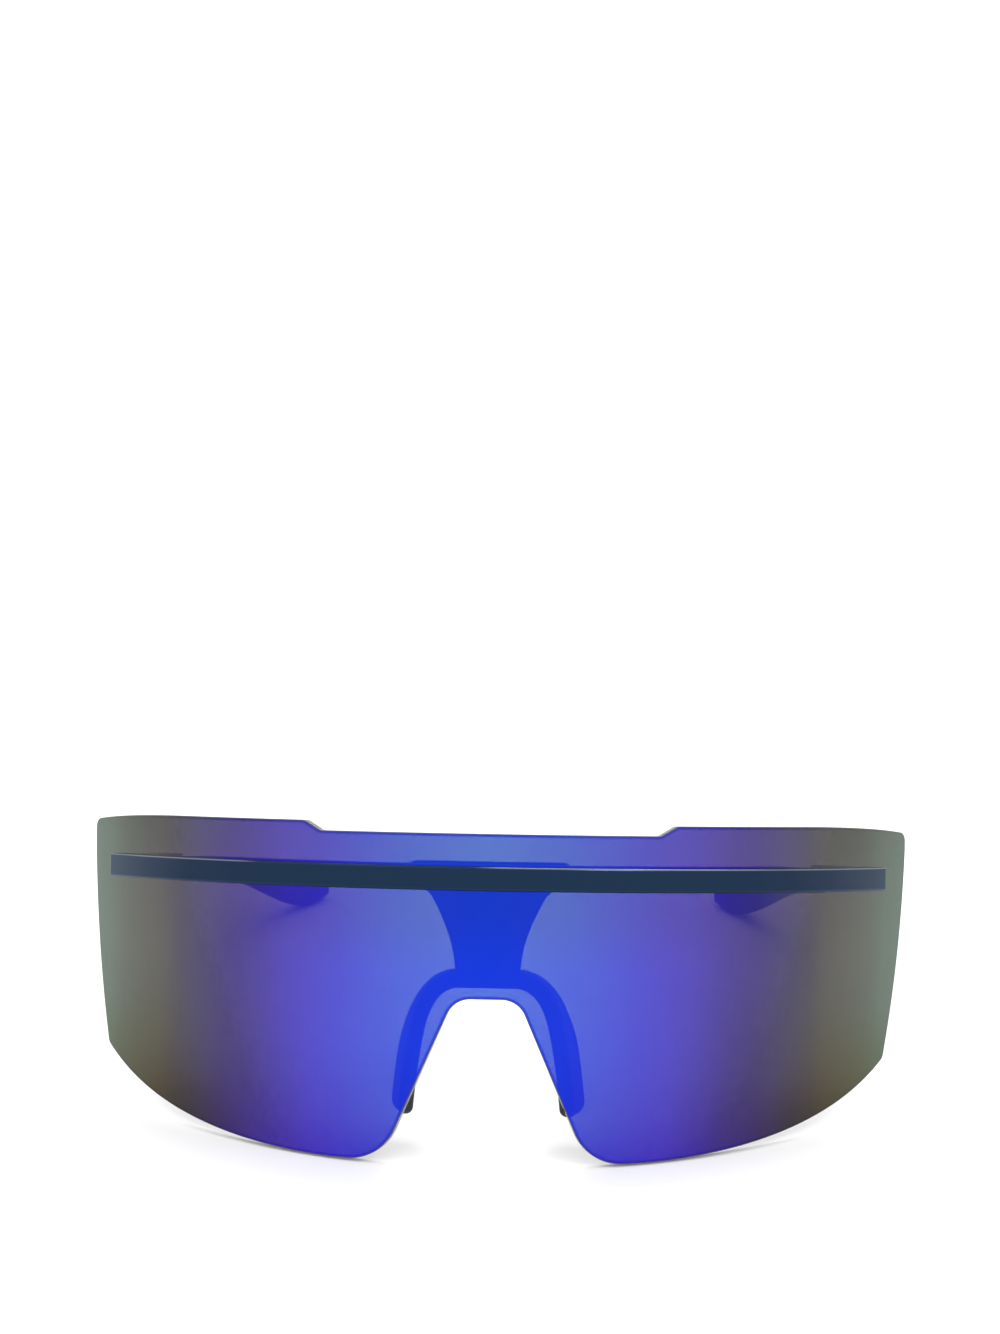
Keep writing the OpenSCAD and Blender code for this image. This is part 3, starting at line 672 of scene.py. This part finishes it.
st = [arm_station(-1, 1, math.cos(a), 1.7 * math.sin(a), -a) for a in (math.radians(11 * i) for i in range(8, 0, -1))]
st += [arm_station(-1, i / 44, 1, 0, 0) for i in range(44, -1, -1)]
st += [arm_station(1, i / 44, 1, 0, 0) for i in range(0, 45)]
st += [arm_station(1, 1, math.cos(a), 1.7 * math.sin(a), a) for a in (math.radians(11 * i) for i in range(1, 9))]
SEAT_C, SEAT_R = 4.2, 20.03
sv, sf = [], []
for p, N, U, D, q, qn, phi in st:
    pts = p + q[:, :1] * N + q[:, 1:] * U
    inside = np.hypot(pts[:, 0], pts[:, 2] - SEAT_C) < SEAT_R
    zs = SEAT_C - np.sqrt(np.maximum(SEAT_R ** 2 - pts[:, 0] ** 2, 0))
    pts[:, 2] = np.where(inside & (pts[:, 2] < SEAT_C), zs, pts[:, 2])
    sv.append(pts)
n = len(sv[0])
for i in range(len(sv) - 1):
    for j in range(n):
        k = (j + 1) % n
        sf.append((i * n + j, (i + 1) * n + j, (i + 1) * n + k, i * n + k))
sf.append(tuple(range(n - 1, -1, -1)))
sf.append(tuple((len(sv) - 1) * n + j for j in range(n)))
saddle = new_mesh("saddle", g2r(np.concatenate(sv)), sf, None, (M_RUBBER,))
fix_winding(saddle)
saddle.data.set_sharp_from_angle(angle=math.radians(38))
place(saddle, "front", "rubber", "nose_saddle")


# ---------------------------------------------------------------------------
# Temples, ear grips
# ---------------------------------------------------------------------------
TX = 63.95
TEMPLE_H, END_Y, TAIL_Y = 4.1, 158.0, 149.0


def temple_station(y, w, h, r, phi=0.0, dy=0.0, n=6, dz=0.0):
    dx = -2 * 19.4 * max(0, y - 90) / 65 ** 2
    d = unit([dx, 1, 0])
    t = max(0, min(1, (y - 126) / 26))
    x = TX - 19.4 * (max(0, y - 90) / 65) ** 2
    q, qn = rrect(w, h, [r] * 4, n)
    return (np.array([x, y, -4.8 * t * t * (3 - 2 * t) + dz]) + dy * d, np.array([-d[1], d[0], 0]),
            np.array([0, 0, 1.0]), d, q, qn, phi)


def tail_station(y, k=1.0, dy=0.0, less=0.0, n=7):
    """Ear grip's section: its lower edge rounds upwards over the last stretch."""
    t = (max(0, y - TAIL_Y) / (END_Y - TAIL_Y)) ** 2
    h, w = 5.2 * (1 - 0.62 * t), 4 * (1 - 0.35 * t)
    return temple_station(y, w * (0.3 + 0.7 * k) - less, h * k - less, min(1.4, 0.27 * h) * k, 0.0, dy, n, (5.2 - h) / 2)


def side_map(side):
    def points(p):
        g = p2g(p)
        g[:, 0] *= side
        return g2r(g)

    def dirs(v):
        g = p2g(v, 0.0)
        g[:, 0] *= side
        return g2r_dir(g)
    return points, dirs


for side, tag in ((1, "left"), (-1, "right")):
    to_row, to_row_dir = side_map(side)
    # temple, rounded at its hinge end, square where the grip starts
    st = []
    for i in range(7):
        f = math.pi / 2 * (1 - i / 6)
        cut = 0.9 * (1 - math.cos(f))
        st.append(temple_station(44.55 + 0.45 * (1 - math.sin(f)), 3.3 - cut, TEMPLE_H - cut, 0.9 - cut / 3, -f))
    st += [temple_station(y, 3.3, TEMPLE_H, 0.9) for y in (46, 50, 60, 75, 90)]
    st += [temple_station(y, 3.3, TEMPLE_H, 0.9) for y in np.linspace(91, 111.6, 24)]
    for i in range(1, 5):
        f = math.pi / 2 * i / 4
        cut = 0.6 * (1 - math.cos(f))
        st.append(temple_station(111.6 + 0.3 * math.sin(f), 3.3 - cut, TEMPLE_H - cut, 0.8, f))
    o = sweep(f"temple_arm_{tag}", st, (M_TEMPLE,), to_row, to_row_dir)
    place(o, f"{tag}_temple", "temple_nylon", f"temple_{tag}")
    # ear grip: soft sleeve with shallow rings near its front, rounded at its end
    st = []
    for i in range(6):
        f = math.pi / 2 * (1 - i / 5)
        cut = 1.0 * (1 - math.cos(f))
        st.append(temple_station(112.02 + 0.5 * (1 - math.sin(f)), 4 - cut, 5.2 - cut, 1.4 - cut * 0.4, 0, n=7))
    y = 112.8
    while y < TAIL_Y:
        groove = 0.5 * sum(math.exp(-((y - 116 - 2.2 * i) / 0.26) ** 2) for i in range(8))
        st.append(tail_station(y, less=groove))
        y += 0.11 if 115 < y < 132.5 else 0.6
    st += [tail_station(v) for v in np.linspace(TAIL_Y, END_Y - 1.3, 22)]
    for i in range(1, 10):
        f = math.radians(80) * i / 9
        st.append(tail_station(END_Y - 1.3, math.cos(f), 1.3 * math.sin(f)))
    o = sweep(f"ear_sleeve_{tag}", st, (M_RUBBER,), to_row, None)
    place(o, f"{tag}_temple", "rubber", f"ear_grip_{tag}")

# ---------------------------------------------------------------------------
# Hardware: finer copies of the CAD's own parts
# ---------------------------------------------------------------------------
polish("bridge_plate", "bridge", M_BRIDGE, "front", "frame_nylon", 0.22, 3)
polish("bridge_screws", "bridge_screw_pair", M_SCREW, "front", "fastener_steel", 0.07, 2)
for tag in ("left", "right"):
    polish(f"endpiece_{tag}", f"endpiece_arm_{tag}", M_BRIDGE, "front", "frame_nylon", 0.3, 3)
    polish(f"endpiece_screws_{tag}", f"endpiece_screw_pair_{tag}", M_SCREW, "front", "fastener_steel", 0.07, 2)
    polish(f"front_hinge_{tag}", f"hinge_front_{tag}", M_HINGE, "front", "hinge_metal", 0.08, 2)
    polish(f"endpiece_rivets_{tag}", f"rivet_front_{tag}", M_SCREW, "front", "fastener_steel", 0.0)
    polish(f"hinge_screw_{tag}", f"hinge_bolt_{tag}", M_SCREW, "front", "fastener_steel", 0.07, 2)
    polish(f"temple_hinge_{tag}", f"hinge_rear_{tag}", M_HINGE, f"{tag}_temple", "hinge_metal", 0.08, 2)
    polish(f"temple_rivets_{tag}", f"rivet_rear_{tag}", M_SCREW, f"{tag}_temple", "fastener_steel", 0.0)

# CAD nodes that stay as they are: bushes and wires, inside other pieces
for node, mat in (("lens_bushes", M_BUSH), ("nose_wires", M_WIRE), ("tip_wire_left", M_WIRE), ("tip_wire_right", M_WIRE)):
    o = NODES[node]
    if not o.material_slots:
        o.data.materials.append(mat)
    for s in o.material_slots:
        s.material = mat

# ---------------------------------------------------------------------------
# Stage, light, camera
# ---------------------------------------------------------------------------
k = Nodes("floor_white")
p = k.new("ShaderNodeBsdfPrincipled")
k.link(k.ramp(k.noise(9, 2.0), [(0.3, (0.90, 0.90, 0.905)), (0.7, (0.915, 0.915, 0.915))]), p.inputs["Base Color"])
p.inputs["Roughness"].default_value = 0.7
p.inputs["Specular IOR Level"].default_value = 0.15
k.link(p.outputs[0], k.out.inputs["Surface"])
bm = bmesh.new()
bmesh.ops.create_grid(bm, x_segments=8, y_segments=8, size=6)
fme = bpy.data.meshes.new("floor")
bm.to_mesh(fme)
bm.free()
fme.materials.append(k.mat)
floor = link(bpy.data.objects.new("floor", fme))
floor.location = (0, 0, float(cad_box[0].z) - 1e-5)

world = bpy.data.worlds.new("studio")
bpy.context.scene.world = world
world.use_nodes = True
wt = world.node_tree
wt.nodes["Background"].inputs["Color"].default_value = (1, 1, 1, 1)
wt.nodes["Background"].inputs["Strength"].default_value = SKY


def area(name, loc, target, size, size_y, watts):
    d = bpy.data.lights.new(name, "AREA")
    d.shape = "RECTANGLE"
    d.size, d.size_y = size, size_y
    d.energy = watts
    o = link(bpy.data.objects.new(name, d))
    o.location = loc
    o.rotation_mode = "QUATERNION"
    o.rotation_quaternion = (Vector(target) - Vector(loc)).to_track_quat("-Z", "Y")
    return o


area("strip_left", (-0.39, -0.46, 0.60), (0, -0.05, 0.02), 0.85, 0.10, 0.6)
area("strip_right", (0.36, -0.55, 0.62), (0, -0.05, 0.02), 0.22, 0.14, 0.9)
area("soft_back", (0.02, 0.42, 0.80), (0, -0.02, 0.02), 0.8, 0.35, 4.0)

cam = bpy.data.cameras.new("camera")
cam.lens = 78.02
cam.sensor_width = 36
cam.clip_start, cam.clip_end = 0.01, 50
co = link(bpy.data.objects.new("camera", cam))
# Camera, found in the worn frame
ahead = Vector(g2r_dir([-0.04322, 0.99863, 0.02937])[0]).normalized()
right = Vector(g2r_dir([0.99894, 0.04274, 0.01705])[0])
right = (right - ahead * right.dot(ahead)).normalized()
up = right.cross(ahead)
seat = Vector(g2r([21.890, -474.373, 20.820])[0])
co.matrix_world = Matrix.Translation(seat) @ Matrix((right, up, -ahead)).transposed().to_4x4()
bpy.context.scene.camera = co
bpy.context.scene.view_settings.view_transform = "Standard"
bpy.context.scene.view_settings.look = "None"
